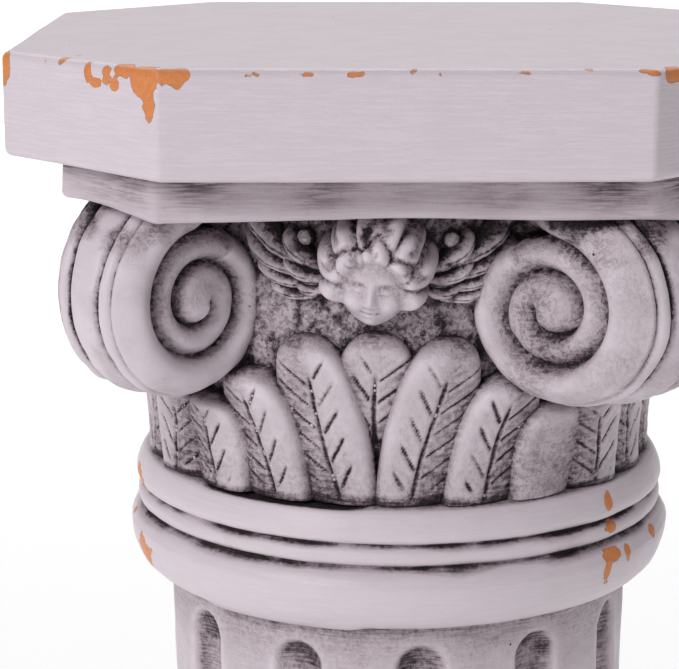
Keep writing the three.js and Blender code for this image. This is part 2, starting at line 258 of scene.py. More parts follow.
def around(azimuth, radius, height):
    """Points at an azimuth from the front, growing towards +X."""
    parts = np.broadcast_arrays(radius * np.sin(azimuth), -radius * np.cos(azimuth), height)
    return np.stack(parts, -1)


def closed_shell(points, etch):
    """A closed skin out of rows of points: each row is joined to the next and round to its own beginning, and
    a fan closes the first and the last row. etch is the wash, with painted shade in places, that each point
    holds by itself, from 0 to 1."""
    rows, columns = points.shape[:2]
    i, j = np.meshgrid(np.arange(rows - 1), np.arange(columns), indexing="ij")
    here, right = i * columns + j, i * columns + (j + 1) % columns
    quads = np.stack([here, right, right + columns, here + columns], -1).reshape(-1, 4)
    edge = np.arange(columns)
    after = (edge + 1) % columns
    far = (rows - 1) * columns
    first, last = np.full((2, columns), rows * columns) + [[0], [1]]
    fans = np.stack([first, after, edge], -1), np.stack([last, far + edge, far + after], -1)
    etched = np.broadcast_to(etch, (rows, columns))
    shell = SimpleNamespace(
        points=np.concatenate([points.reshape(-1, 3), points[[0, -1]].mean(axis=1)]),
        quads=quads,
        triangles=np.concatenate(fans),
        etch=np.concatenate([etched.ravel(), etched[[0, -1]].mean(axis=1)]),
    )
    if signed_volume(shell) < 0:
        shell.quads = shell.quads[:, ::-1]
        shell.triangles = shell.triangles[:, ::-1]
    return shell


def all_triangles(shell):
    """The shell's faces as triangles, each quad cut in two."""
    return np.concatenate([shell.quads[:, [0, 1, 2]], shell.quads[:, [0, 2, 3]], shell.triangles])


def signed_volume(shell):
    """The volume inside, as the sum of tetrahedra from the origin: below zero where faces point inwards."""
    a, b, c = np.moveaxis(shell.points[all_triangles(shell)], 1, 0)
    return np.sum(a * np.cross(b, c)) / 6


def joined(shells):
    """Several shells as one."""
    offsets = np.cumsum([0] + [len(shell.points) for shell in shells])
    return SimpleNamespace(
        points=np.concatenate([shell.points for shell in shells]),
        quads=np.concatenate([shell.quads + offset for shell, offset in zip(shells, offsets)]),
        triangles=np.concatenate([shell.triangles + offset for shell, offset in zip(shells, offsets)]),
        etch=np.concatenate([shell.etch for shell in shells]),
    )


def cut_square(size):
    """Outline of a square with cut, rounded corners and hollowed sides: points a step apart, and the outward
    direction at each."""
    corners = []
    for quarter in range(4):
        across, up = math.cos(quarter * 90 * DEGREE), math.sin(quarter * 90 * DEGREE)
        for x in (-size.flat, size.flat):
            corners.append((x * across + size.half * up, x * up - size.half * across))
    corners = np.array(corners)
    sides = np.roll(corners, -1, axis=0) - corners
    lengths = np.linalg.norm(sides, axis=1)
    places, outwards = [], []
    for k, side in enumerate(sides):
        along = side / lengths[k]
        out = np.array([along[1], -along[0]])
        back = np.array([sides[k - 1][1], -sides[k - 1][0]]) / lengths[k - 1]
        trim = size.corner * math.tan(22.5 * DEGREE)
        middle = corners[k] + along * trim - out * size.corner
        turn = np.linspace(0, 1, 8)[:, None]
        swing = back * (1 - turn) + out * turn
        swing /= np.linalg.norm(swing, axis=1, keepdims=True)
        places.append(middle + swing * size.corner)
        outwards.append(swing)
        share = np.linspace(trim, lengths[k] - trim, int(lengths[k] / size.step))[1:-1, None] / lengths[k]
        dip = size.hollow * (1 - (2 * share - 1) ** 2) if k % 2 == 0 else 0
        places.append(corners[k] + side * share - out * dip)
        outwards.append(np.broadcast_to(out, (len(share), 2)))
    return np.concatenate(places), np.concatenate(outwards)


def slab_shell(size, foot, top):
    """A slab with that outline and rounded edges, in rows from the middle of its underside out, up the side
    and in over its top. Noise makes its faces stray and its lower edge sag, and the foot flares with the
    square of the way down. It is darkened all over, partly by wash and partly by painted shade from what
    overhangs it; wash runs down from the top in patches, and a line of painted shade darkens the top, under
    the overhang."""
    outline, outwards = cut_square(size)
    arc = np.linspace(0, 90, 7) * DEGREE
    wall = np.linspace(foot + size.soften, top - size.soften, int((top - foot) / size.step) + 2)[1:-1]
    insets = size.half * (1 - np.array([0.05, 0.2, 0.4, 0.6, 0.8, 0.9, 0.95, 0.975]))
    inset = np.concatenate([
        insets, size.soften * (1 - np.sin(arc)), np.zeros(len(wall)), size.soften * (1 - np.cos(arc)),
        insets[::-1],
    ])
    height = np.concatenate([
        np.full(len(insets), foot), foot + size.soften * (1 - np.cos(arc)), wall,
        top - size.soften * (1 - np.sin(arc)), np.full(len(insets), top),
    ])
    shrink = 1 - np.maximum(inset - size.soften, 0)[:, None, None] / (size.half - size.soften)
    flat = (outline - outwards * np.minimum(inset, size.soften)[:, None, None]) * shrink
    points = np.concatenate([flat, np.broadcast_to(height[:, None, None], flat.shape[:2] + (1,))], -1)
    down = ((top - height) / (top - foot))[:, None]
    stray = size.wave * unevenness(points, SLAB_WAVES) + size.flare * down**2
    points[..., :2] += stray[..., None] * outwards * (inset < size.soften * 2)[:, None, None]
    points[..., 2] += size.sag * noise(points * (1, 1, 0), SAG_WAVE.size, SAG_WAVE.seed) * down
    run = smooth(foot, top, height)[:, None] * (0.55 + 0.45 * noise(points, 17, 6))
    # A line of painted shade along the top, under the overhang
    line = smooth(top - 4, top, height)[:, None]
    return closed_shell(points, size.wash_and_shade * (0.6 + 0.35 * noise(points, 26, 5) + 0.5 * run + 0.35 * line))


def bell_radius(height):
    """Radius of the capital's ground: two straight flares that meet at the waist."""
    heights = (CAPITAL_FOOT, BELL.waist_height, ABACUS_FOOT)
    return np.interp(height, heights, (BELL.foot, BELL.waist, BELL.top))


def bell_shell():
    """The capital's ground, turned round the axis and left rough and pitted by the mould."""
    height = np.linspace(CAPITAL_FOOT, ABACUS_FOOT + 5, 52)[:, None]
    azimuth = np.linspace(0, TURN, 320, endpoint=False)[None, :]
    pits = unevenness(around(azimuth, bell_radius(height), height), BELL_PITS)
    radius = bell_radius(height) + 0.6 * pits - 1.6 * smooth(0.5, 1.2, pits)
    return closed_shell(around(azimuth, radius, height), 0.38 + 0.4 * smooth(-0.2, 0.9, -pits))


def loop_across(face, etch):
    """Closed loops over a face and back inside the bell, at four points of each row, and their etch."""
    back = np.linspace(face.shape[1] - 1, 0, 4).astype(int)
    inner = face[:, back]
    flat = np.linalg.norm(inner[..., :2], axis=-1, keepdims=True)
    inner = np.concatenate([inner[..., :2] / flat * ROOT_RADIUS, inner[..., 2:]], -1)
    return np.concatenate([face, inner], axis=1), np.concatenate([etch, etch[:, back]], axis=1)


def leaf_veins(s, height, aside, draw):
    """Carving of a leaf's midrib and side veins: how deep it cuts, and how dark its lines are, from 0 to 1.

    Each is a bell curve beside a line. The midrib wanders up the leaf as a sine. The side veins slant up from
    it, an even pitch apart, each as strong as its own random share, and the leaf sinks between them."""
    wander = draw.uniform(-1, 1, 4)
    strength = np.stack([draw.uniform(weakest, 1, 40) for weakest in VEIN.weakest])
    aside = aside - 0.9 * np.sin(height / 11 + 3 * wander[0])
    off = np.abs(aside)
    nearer = (aside > 0).astype(int)
    steep, spacing, reach = (np.array(pair)[nearer] for pair in (VEIN.steep, VEIN.spacing, VEIN.reach))
    steep = steep + 0.15 * wander[1]
    pitch = VEIN.pitch * spacing
    phase = (height - CAPITAL_FOOT - steep * off) / pitch + wander[2] + 10
    number = np.round(phase).astype(int)
    from_vein = np.abs(phase - number)
    line = hump(from_vein * pitch / np.hypot(1, steep), VEIN.half)
    window = smooth(0.6, 2.2, off) * (1 - smooth(reach * LEAF.half - 3, reach * LEAF.half, off))
    window = window * smooth(0.06, 0.14, s) * (1 - smooth(0.8, 0.93, s))
    vein = line * window * strength[nearer, number]
    rib = hump(aside, VEIN.rib_half) * smooth(0, 0.06, s) * (1 - smooth(0.7, 0.86, s))
    between = VEIN.swell * (2 * from_vein) ** 2 * window * (1 - 0.6 * nearer)
    return np.maximum(VEIN.depth * vein, VEIN.rib_depth * rib) + between, np.maximum(vein * line, rib * rib)


def leaf_shell(side_azimuth, row, side, lift, veined=True):
    """A leaf: a blunt tongue up the bell, in loops from its foot to its tip.

    s runs up it and v across, 1 at the edge nearer the middle of the side. Its thickness is an edge, a crown
    that falls with v squared, a lift of that nearer edge and a curl that grows with s cubed; a superellipse
    brings it down to the bell round the outline. The leaf behind, with side 0, sinks into the bell below its
    middle."""
    even = np.linspace(0, 1, 96)[:, None]
    s = 0.75 * even + 0.25 * np.sin(even * np.pi / 2)
    even = np.linspace(-1, 1, 52)[None, :]
    v = 0.7 * even + 0.3 * np.sin(even * np.pi / 2)
    height = CAPITAL_FOOT + s * (row.tip - CAPITAL_FOOT)
    half = LEAF.half * np.sqrt(1 - s**LEAF.blunt) * (LEAF.foot + (1 - LEAF.foot) * smooth(0, 0.5, s))
    hand = side or 1
    azimuth = side_azimuth + side * (row.foot + row.lean * s) * DEGREE - hand * v * half / BELL.waist
    draw = np.random.default_rng(int(1000 + side_azimuth * 40 + row.foot * 8 + side * 3))
    carved, dark = leaf_veins(s, height, v * half, draw) if veined else (0, 0)
    thick = LEAF.edge + lift + LEAF.crown * (1 - v * v) + LEAF.curl * s**3
    if side:
        thick = thick + LEAF.proud * (1 + v) / 2
        # The far half, tucked under the next leaf's raised edge, is darker: partly wash, partly painted shade
        wash_and_shade = LEAF_WASH_AND_SHADE.blade + LEAF_WASH_AND_SHADE.far_half_wash_and_shade * smooth(0.3, -0.2, v)
    else:
        thick = thick - (LEAF.edge + LEAF.crown) * (1 - smooth(0.25, 0.6, s))
        wash_and_shade = LEAF_WASH_AND_SHADE.behind
    rounding = np.sqrt(1 - np.abs(v) ** 9) * np.sqrt(1 - s**16)
    bell = bell_radius(height)
    uneven = unevenness(around(azimuth, bell, height), LEAF_LUMPS)
    radius = bell - LEAF.bury + (thick + uneven + LEAF.bury) * rounding - carved
    wash_and_shade = wash_and_shade + LEAF_WASH_AND_SHADE.foot * (1 - smooth(0, 0.09, s)) + LEAF_WASH_AND_SHADE.tip * smooth(0.86, 1, s)
    edge = LEAF_WASH_AND_SHADE.edge * np.maximum(smooth(0.95, 0.99, np.abs(v)), smooth(0.975, 0.995, s))
    etch = np.maximum(0.95 * dark, np.maximum(wash_and_shade if veined else LEAF_WASH_AND_SHADE.plain, edge))
    return closed_shell(*loop_across(around(azimuth, radius, height), np.clip(etch, 0, 1)))


def spiral_radius(angle):
    """Radius of the scroll's groove, which shrinks evenly with the angle."""
    return VOLUTE.outer + (VOLUTE.eye - VOLUTE.outer) * angle / VOLUTE.end


def rim_rise(share):
    """Moulding across a scroll's rim, by the share of the way from its middle to its edge: a crowned broad
    band, a groove, a round fillet and a groove at the edge. Gives the rise and how deep in a groove it is."""
    off = np.abs(share)
    band = VOLUTE.band_crown * np.clip(1 - (off / VOLUTE.band_share) ** 2, 0, 1)
    across = (off - VOLUTE.band_share) / (VOLUTE.fillet_share - VOLUTE.band_share)
    fillet = VOLUTE.fillet_crown * np.sin(np.pi * np.clip(across, 0, 1))
    grooves = hump(off - VOLUTE.band_share, 0.07) + 0.8 * hump(off - 0.98, 0.06)
    return band + fillet - VOLUTE.groove_depth * grooves, smooth(0.3, 0.75, grooves)


def volute_face(face, angle, share):
    """One face of a scroll, at shares of the way out from its middle: distance from the middle, how far aside
    it lies, and the wash it holds. Between two passes of the spiral the face swells to a round band, and the
    whole spiral lies a little off the middle. The speck added to the turns settles ties in rounding."""
    step = spiral_radius(VOLUTE.start) - spiral_radius(VOLUTE.start + TURN)
    rim = spiral_radius(angle) + step * smooth(TURN - 15 * DEGREE, TURN, angle - VOLUTE.start)
    radius = share * rim
    shifted = radius + VOLUTE.off_middle * (1 + np.sin(angle)) * share * (1 - share**3)
    along = VOLUTE.end * (VOLUTE.outer - shifted) / (VOLUTE.outer - VOLUTE.eye)
    turns = (along - angle) / TURN + 1e-9
    groove_angle = angle + TURN * np.round(turns)
    near = 1 - 2 * np.abs(turns - np.round(turns))
    fade = 1 - smooth(VOLUTE.end - 40 * DEGREE, VOLUTE.end + 20 * DEGREE, groove_angle)
    under = VOLUTE.depth * (0.8 * near**2 + 0.2 * near**6) * fade
    band_angle = angle + TURN * np.floor(turns)
    sink = VOLUTE.sink * (1 - smooth(VOLUTE.start, VOLUTE.sink_end, band_angle))
    eye_dome = VOLUTE.eye_rise * (1 - smooth(0, 2.4 * VOLUTE.eye, radius))
    step_down = VOLUTE.inner_step * smooth(0.8, 1.2, turns)
    aside = VOLUTE.eyes[face] - radius * np.sin(angle) * math.tan(VOLUTE.splay[face])
    aside = aside - under - sink + eye_dome - step_down
    groove = VOLUTE_WASH_AND_SHADE.groove * smooth(0.82, 1, near) + VOLUTE_WASH_AND_SHADE.beside * smooth(0.4, 0.95, near)
    darkening = groove * fade * smooth(0.3, 0.6, turns) + VOLUTE_WASH_AND_SHADE.face
    return radius, aside, darkening + VOLUTE_WASH_AND_SHADE.inner * smooth(0.9, 1.3, turns)


def volute_shell(corner_azimuth, wash_and_shade):
    """A scroll as one skin, like a wheel: columns run round it, and rows from the middle of one face, over
    the moulded rim, to the middle of the other. Patches below the abacus are darker, partly wash that ran
    down and partly painted shade under the abacus, and a given amount more darkens the whole scroll with
    painted shade, for a scroll turned from the key light."""
    angle = VOLUTE.start + TURN * np.arange(150)[None, :] / 150
    share = np.linspace(0.02, 1, 46)[:, None]
    near = volute_face(0, angle, share)
    far = volute_face(1, angle, share)
    cross = np.linspace(0, 1, 54)[1:-1, None]
    start, end = near[1][-1], -far[1][-1]
    aside = start + (end - start) * cross
    rise, groove = rim_rise(2 * cross - 1)
    rim_etch = VOLUTE_WASH_AND_SHADE.rim + VOLUTE_WASH_AND_SHADE.rim_groove * groove + 0 * angle
    radius = np.concatenate([near[0], near[0][-1] + rise, far[0][::-1]])
    aside = np.concatenate([near[1], aside, -far[1][::-1]])
    etch = np.concatenate([near[2], rim_etch, far[2][::-1]])
    out = VOLUTE.reach + radius * np.sin(angle)
    height = VOLUTE.middle + radius * np.cos(angle)
    points = around(corner_azimuth, out, height)
    points = points + aside[..., None] * around(corner_azimuth + 90 * DEGREE, 1, 0)
    etch = etch * (0.6 + 0.4 * smooth(-0.5, 0.5, noise(points, 14, 33)))
    # Patches darker below the abacus: partly wash that ran down, partly painted shade under the abacus
    below_abacus = smooth(ABACUS_FOOT - VOLUTE.below_abacus, ABACUS_FOOT, height)
    below_abacus = below_abacus * smooth(-0.6, 0.5, noise(points, 9, 35))
    mottle = VOLUTE_WASH_AND_SHADE.mottle * smooth(0, 0.7, noise(points, 22, 36))
    # The extra darkening of the whole scroll is painted shade
    etch = np.maximum(etch, VOLUTE_WASH_AND_SHADE.run * below_abacus) + wash_and_shade + mottle
    away = points - around(corner_azimuth, VOLUTE.reach, VOLUTE.middle)
    away /= np.linalg.norm(away, axis=-1, keepdims=True)
    return closed_shell(points + unevenness(points, VOLUTE_LUMPS)[..., None] * away, etch)


# Soft swellings of a calm child's face: shares across and up, half widths across and up, and how far each
# stands out
FACE = (
    (0.33, 0.02, 0.18, 0.12, -1.3),  # eye hollows
    (0.33, 0.0, 0.125, 0.075, 1.5),  # closed lids
    (0.33, -0.055, 0.12, 0.018, -0.5),  # lash lines
    (0.33, 0.19, 0.22, 0.07, 0.5),  # brows
    (0.0, -0.04, 0.085, 0.17, 1.5),  # bridge of the nose
    (0.0, -0.2, 0.1, 0.085, 2.7),  # tip of the nose
    (0.11, -0.23, 0.06, 0.05, 1.1),  # wings of the nose
    (0.45, -0.3, 0.25, 0.22, 2.0),  # cheeks
    (0.0, -0.41, 0.16, 0.035, 1.1),  # upper lip
    (0.0, -0.51, 0.13, 0.045, 1.3),  # lower lip
    (0.0, -0.46, 0.19, 0.017, -1.0),  # line of the mouth
    (0.2, -0.45, 0.05, 0.05, -0.7),  # corners of the mouth
    (0.0, -0.72, 0.2, 0.13, 1.8),  # chin
)
FACE_STRENGTH = 1.25


def face_relief(x, up):
    """How far the face stands out: the sum of its features, each a bell curve across and up."""
    return FACE_STRENGTH * sum(
        rise * hump(np.abs(x) - across, wide) * hump(up - lift, tall)
        for across, lift, wide, tall, rise in FACE
    )


def lock_places():
    """Middles of the curls, as shares across and up: a row over the brow and a rim round the head."""
    brow = np.linspace(-1, 1, HAIR.brow_locks) * HAIR.brow_end
    rim = np.linspace(-1, 1, HAIR.rim_locks) * HAIR.rim_end
    angle = np.concatenate([brow, rim])
    spread = np.concatenate([np.full(len(brow), 0.62), np.full(len(rim), 0.88)])
    places = np.stack([spread * np.sin(angle), spread * np.cos(angle)], -1)
    return places + np.random.default_rng(HAIR.seed).uniform(-HAIR.stray, HAIR.stray, places.shape)


def curls(x, up):
    """The hair's curls: how high the dome of the nearest one is, the crease beside it and the swirl on it.

    Each curl is a parabolic dome with a faint spiral wound round its middle, left and right by turns, and a
    crease runs where two domes are equally high."""
    domes, swirls = [], []
    for number, (across, lift) in enumerate(lock_places()):
        off = np.hypot(x - across, up - lift)
        domes.append(np.clip(1 - (off / HAIR.spread) ** 2, 0, 1))
        swirls.append(np.cos(np.arctan2(x - across, up - lift) + 15 * off * (-1) ** number))
    second, first = np.sort(domes, axis=0)[-2:]
    swirl = np.take_along_axis(np.stack(swirls), np.argmax(domes, axis=0)[None], axis=0)[0]
    crease = 1 - smooth(0, 0.16, first - second)
    return first, crease, swirl * (1 - crease) * smooth(0.1, 0.5, first)


def head_shell(side_azimuth, holed):
    """A child's head with a cap of curls: an egg whose pole faces out, in rows from the nose to the back.
    It nods and leans to one side. holed sinks a mould's hole into the hair."""
    polar = np.linspace(0.03, np.pi, 72)[:, None]
    spin = np.linspace(0, TURN, 112, endpoint=False)[None, :]
    flat = np.sin(polar)
    x, up, deep = np.broadcast_arrays(flat * np.sin(spin), flat * np.cos(spin), np.cos(polar))
    facing = smooth(-0.2, 0.3, deep)
    above_jaw = smooth(-0.75, -0.2, up / np.maximum(np.hypot(x, up), 1e-6))
    hairline = smooth(0.92, 1.08, np.hypot(x / 0.68, (up + 0.1) / 0.6)) * above_jaw
    face = face_relief(x, up)
    dome, crease, swirl = curls(x, up)
    hole = holed * hump(np.hypot(x - MOULD_HOLE.across, up - MOULD_HOLE.up), MOULD_HOLE.half)
    hair = hairline * (HAIR.thick + HAIR.curl * dome - HAIR.crease * crease + HAIR.swirl * swirl)
    hair = hair - MOULD_HOLE.depth * hole
    proud = hair + face * facing * (1 - hairline)
    wide = x * (1 - HEAD.jaw * smooth(0.1, 1, -up)) * (HEAD.half_wide + proud)
    tall = up * (HEAD.half_tall + hair)
    deep = deep * (HEAD.half_deep + proud)
    out = HEAD.out + deep * math.cos(HEAD.nod) + tall * math.sin(HEAD.nod)
    tall = tall * math.cos(HEAD.nod) - deep * math.sin(HEAD.nod)
    leaned = wide * math.cos(HEAD.tilt) + tall * math.sin(HEAD.tilt)
    height = HEAD.middle + tall * math.cos(HEAD.tilt) - wide * math.sin(HEAD.tilt)
    points = around(side_azimuth, out, height)
    points = points + leaned[..., None] * around(side_azimuth + 90 * DEGREE, 1, 0)
    lines = 0.35 * np.clip(-face, 0, 1) * (1 - hairline) * facing
    gaps = hairline * (0.45 * crease + 0.3 * smooth(0.3, 0.9, -swirl) + 0.4 * (1 - smooth(0.1, 0.6, dome)))
    return closed_shell(points, np.clip(0.16 + lines + gaps + hole, 0, 1))


def wing_shell(side_azimuth, side, row):
    """One row of a wing's feathers: a fan from the root beside the head, in loops from the root outwards.

    Across the fan each feather is a broad ridge with a line along its shaft, and its end is a scallop. The
    feathers bend upwards as they reach out, and the upper ones are the longest."""
    reach = np.sin(np.linspace(4, 90, 30) * DEGREE)[:, None]
    share = np.linspace(0, 1, 14 * row.count + 1)[None, :]
    ridge = np.abs(np.sin(np.pi * row.count * share))
    angle = (row.low + (row.high - row.low) * share + WING.bend * reach**2) * DEGREE
    span = row.length * (1 - WING.scallop * (1 - ridge**0.5)) * (0.6 + 0.4 * smooth(0, 0.8, share)) * reach
    azimuth = side_azimuth + side * (WING.root * DEGREE + span * np.cos(angle) / BELL.waist)
    height = WING.root_height + span * np.sin(angle) + 10 * (share - 0.4)
    shaft = hump(np.cos(np.pi * row.count * share), 0.16)
    shaft = shaft * smooth(0.3, 0.6, reach) * (1 - smooth(0.85, 0.97, reach))
    rounding = np.sqrt(np.clip(1 - reach**9, 0, 1))
    lumps = unevenness(around(azimuth, BELL.top, height), WING_LUMPS)
    thick = row.thick * (0.45 + 0.55 * ridge**0.5) + lumps
    radius = BELL.top - WING.bury + (WING.bury + thick) * rounding - 0.5 * shaft
    etch = 0.85 * (1 - ridge) ** 2 + 0.4 * shaft + 0.2 + 0.5 * smooth(0.2, 1, -lumps)
    return closed_shell(*loop_across(around(azimuth, radius, height), np.clip(etch, 0, 1)))


def ball_shell(middle, radius, top_etch):
    """A ball whose pole faces away from the axis, with its own etch on top and dark round its equator."""
    polar = np.linspace(0.15, np.pi - 0.15, 9)[:, None, None]
    spin = np.linspace(0, TURN, 12, endpoint=False)[None, :, None]
    out = middle * (1, 1, 0) / np.hypot(*middle[:2])
    upright = np.array((0, 0, 1))
    level = np.cross(out, upright)
    ball = np.cos(polar) * out + np.sin(polar) * (np.cos(spin) * level + np.sin(spin) * upright)
    etch = top_etch + (1 - top_etch) * smooth(0.72, 0.95, np.sin(polar[..., 0]))
    return closed_shell(middle + radius * ball, etch)


def blisters(shell, kind, seed):
    """Small blisters of the casting: balls on points drawn from a shell's carved lines, few of them large."""
    draw = np.random.default_rng(seed)
    spots = shell.points[draw.choice(np.flatnonzero(shell.etch > 0.88), kind.count)]
    sizes = BLISTER_LEAST + (kind.largest - BLISTER_LEAST) * draw.uniform(size=kind.count) ** 2
    return [ball_shell(spot, size, 0.1) for spot, size in zip(spots, sizes)]


def rounded(profile, times):
    """A profile with its corners cut: each pass puts points a quarter from both ends of every stretch."""
    for _ in range(times):
        start, end = profile[:-1], profile[1:]
        cut = np.stack([0.75 * start + 0.25 * end, 0.25 * start + 0.75 * end], 1).reshape(-1, 2)
        profile = np.concatenate([profile[:1], cut, profile[-1:]])
    return profile


def bulge(ring, count):
    """A half-round swelling of the profile, as points from the top down."""
    share = np.linspace(-1, 1, count)
    return np.stack([
        ring.edge + (ring.crest - ring.edge) * np.sqrt(1 - share**2),
        (ring.top + ring.foot) / 2 - share * (ring.top - ring.foot) / 2,
    ], -1)


def column_profile():
    """Radius and height down the column: collar rings, ovolo, shaft and base mouldings. The shaft's points
    crowd at the ends of the flutes."""
    collar = np.array([(radius, COLLAR_TOP - depth) for radius, depth in COLLAR])
    turn = np.linspace(0, 90, 12) * DEGREE
    proud = (OVOLO.radius - SHAFT.radius) * np.clip(np.cos(turn), 0, 1) ** OVOLO.fullness
    ovolo = np.stack([SHAFT.radius + proud, OVOLO.crest - (OVOLO.crest - SHAFT.top) * np.sin(turn)], -1)
    head = rounded(np.concatenate([collar, ovolo[:1]]), 2)
    ends = np.linspace(-2, 1.6 * FLUTES.half - 2, 14)
    between = np.linspace(FLUTES.top - 24, FLUTES.foot + 24, 18)
    shaft = np.concatenate([FLUTES.top - ends, between, FLUTES.foot + ends[::-1]])
    shaft = np.stack([np.full(len(shaft), SHAFT.radius), shaft], -1)
    foot = [[SHAFT.radius, SHAFT.foot], BASE_FILLET]
    return np.concatenate([head, ovolo[1:], shaft, foot, bulge(BASE_RING, 10), bulge(BASE_TORUS, 16)])


def flute_depth(azimuth, height):
    """How deep the flutes cut into the shaft, as a ball would that runs down outside it: round channels with
    round ends. A soft maximum of that depth and 0 wears the arrises."""
    pitch = TURN / FLUTES.count
    off = (azimuth - FLUTES.first * DEGREE + pitch / 2) % pitch - pitch / 2
    cutter = (FLUTES.half**2 + FLUTES.depth**2) / (2 * FLUTES.depth)
    middle = SHAFT.radius - FLUTES.depth + cutter
    run = (FLUTES.top - FLUTES.foot) / 2 - FLUTES.half
    past = np.maximum(np.abs(height - (FLUTES.top + FLUTES.foot) / 2) - run, 0)
    room = cutter**2 - past**2 - (middle * np.sin(off)) ** 2
    wall = middle * np.cos(off) - np.sqrt(np.maximum(room, 0))
    depth = np.where(room > 0, SHAFT.radius - wall, -3)
    return FLUTES.worn * np.logaddexp(0, depth / FLUTES.worn)


def column_shell():
    """The column, turned round its axis from the profile, with the flutes cut in and a little uneven. The
    collar dips at the front, where the joint under the leaves gapes. The shaft and all below its top are
    darkened evenly, a band under the ovolo is darkened partly by wash and partly by painted shade under its
    overhang, wash stays in the flutes and the joint with painted shade in the gaping slit, and wash, broken
    by noise, stays in the creases between the rings."""
    profile = column_profile()
    azimuth = np.linspace(-np.pi, np.pi, 640, endpoint=False)[None, :]
    radius, height = profile[:, :1], profile[:, 1:]
    on_shaft = smooth(SHAFT.foot, SHAFT.foot + 4, height)
    on_shaft = on_shaft * (1 - smooth(SHAFT.top - 5, SHAFT.top - 1, height))
    cut = flute_depth(azimuth, height) * on_shaft
    true = around(azimuth, radius, height)
    crease, beside = (
        sum(hump(height - (COLLAR_TOP - depth), width) for depth in CREASE_DEPTHS) for width in (1.1, 3.6)
    )
    gap = smooth(0, 4 * DEGREE, azimuth - JOINT_DIP.start) * smooth(0, 6 * DEGREE, JOINT_DIP.end - azimuth)
    gap = gap * smooth(90, 96, radius) * smooth(107, 105.5, radius)
    surface = radius - cut + unevenness(true, COLUMN_WAVES) - crease
    points = around(azimuth, surface, height - JOINT_DIP.depth * gap)
    # Darkens the shaft and everything below its top evenly
    shaft = COLUMN_WASH_AND_SHADE.shaft * (1 - smooth(SHAFT.top, SHAFT.top + 4, height))
    # Band under the ovolo: partly wash, partly painted shade under its overhang
    under_ovolo_wash_and_shade = smooth(SHAFT.top - 34, SHAFT.top, height) * (1 - smooth(SHAFT.top, SHAFT.top + 5, height))
    flutes = COLUMN_WASH_AND_SHADE.flute * smooth(0.8, 3.5, cut) * (1 + 0.7 * noise(true, 6, 45))
    # Wash in the joint all round, and painted shade in the slit where the joint gapes
    joint = smooth(107.5, 105.5, radius) * smooth(COLLAR_TOP - 3, COLLAR_TOP - 2, height)
    joint = joint * (COLUMN_WASH_AND_SHADE.joint + COLUMN_WASH_AND_SHADE.painted_slit_shade * gap)
    smear = beside * np.clip(0.12 + 0.4 * noise(true * (0.5, 0.5, 1), 11, 44), 0, 1)
    broken = crease * np.clip(0.5 + 0.5 * noise(true, 7, 46), 0, 1)
    etch = flutes + broken + smear + COLUMN_WASH_AND_SHADE.under_ovolo_wash_and_shade * under_ovolo_wash_and_shade + shaft + joint
    return closed_shell(points, np.clip(etch, 0, 1))


def vertex_normals(shell):
    """Outward normals at the points, each as long as the area round its point."""
    corners = all_triangles(shell)
    a, b, c = np.moveaxis(shell.points[corners], 1, 0)
    share = np.cross(b - a, c - a) / 6
    normals = np.zeros_like(shell.points)
    for k in range(3):
        np.add.at(normals, corners[:, k], share)
    return normals


def hollows(shells, cell, blurs):
    """How hollow each point's surroundings are, for each blur: about 0 on flat ground, up to 0.5 deep in a
    crevice and below 0 on edges.

    The outward normals, spread over a grid, are the slope of the solids' own fill. A Fourier transform solves
    for that fill, which is cut to 1 where solids overlap and blurred; on flat ground it is a half."""
    points = np.concatenate([shell.points for shell in shells])
    normals = np.concatenate([vertex_normals(shell) for shell in shells])
    margin = 12 * cell
    low = points.min(axis=0) - margin
    shape = np.ceil((points.max(axis=0) + margin - low) / cell).astype(int)
    index = tuple(((points - low) / cell).astype(int).T)
    waves = [np.fft.fftfreq(shape[0]), np.fft.fftfreq(shape[1]), np.fft.rfftfreq(shape[2])]
    waves = [wave.reshape(np.roll((-1, 1, 1), k)) * TURN / cell for k, wave in enumerate(waves)]
    square = sum(wave**2 for wave in waves)
    slope = 0
    for k in range(3):
        grid = np.zeros(shape)
        np.add.at(grid, index, normals[:, k])
        slope = slope + waves[k] * np.fft.rfftn(grid)
    square[0, 0, 0] = 1
    fill = np.fft.irfftn(1j * slope / square * np.exp(-square * cell**2 / 2) / cell**3, s=tuple(shape))
    fill = np.clip(fill - fill[0, 0, 0], 0, 1)
    spectrum = np.fft.rfftn(fill)
    measures = []
    for blur in blurs:
        soft = np.fft.irfftn(spectrum * np.exp(-square * blur**2 / 2), s=tuple(shape))
        found = np.zeros(len(points))
        for corner, weight in corner_blend((points - low) / cell - 0.5):
            found += weight * soft[tuple(corner.T)]
        measures.append(np.split(found - 0.5, np.cumsum([len(shell.points) for shell in shells])[:-1]))
    return measures


def chip_depth(points):
    """How far each point lies inside the nearest chip or scuff: 1 in the middle of a chip, 0 at its edge and
    below 0 outside. A scuff stays below 0."""
    depth = np.full(len(points), FAR_FROM_CHIPS)
    for marks, most in ((CHIPS, 1), (SCUFFS, SCUFF_DEPTH)):
        for middle, reach in marks:
            inside = 1 - np.linalg.norm((points - middle) / np.array(reach), axis=1)
            depth = np.maximum(depth, np.minimum(inside, most))
    return depth


def placed(name, data):
    """A new object in the scene, out of a mesh, a light or a camera."""
    thing = bpy.data.objects.new(name, data)
    bpy.context.scene.collection.objects.link(thing)
    return thing


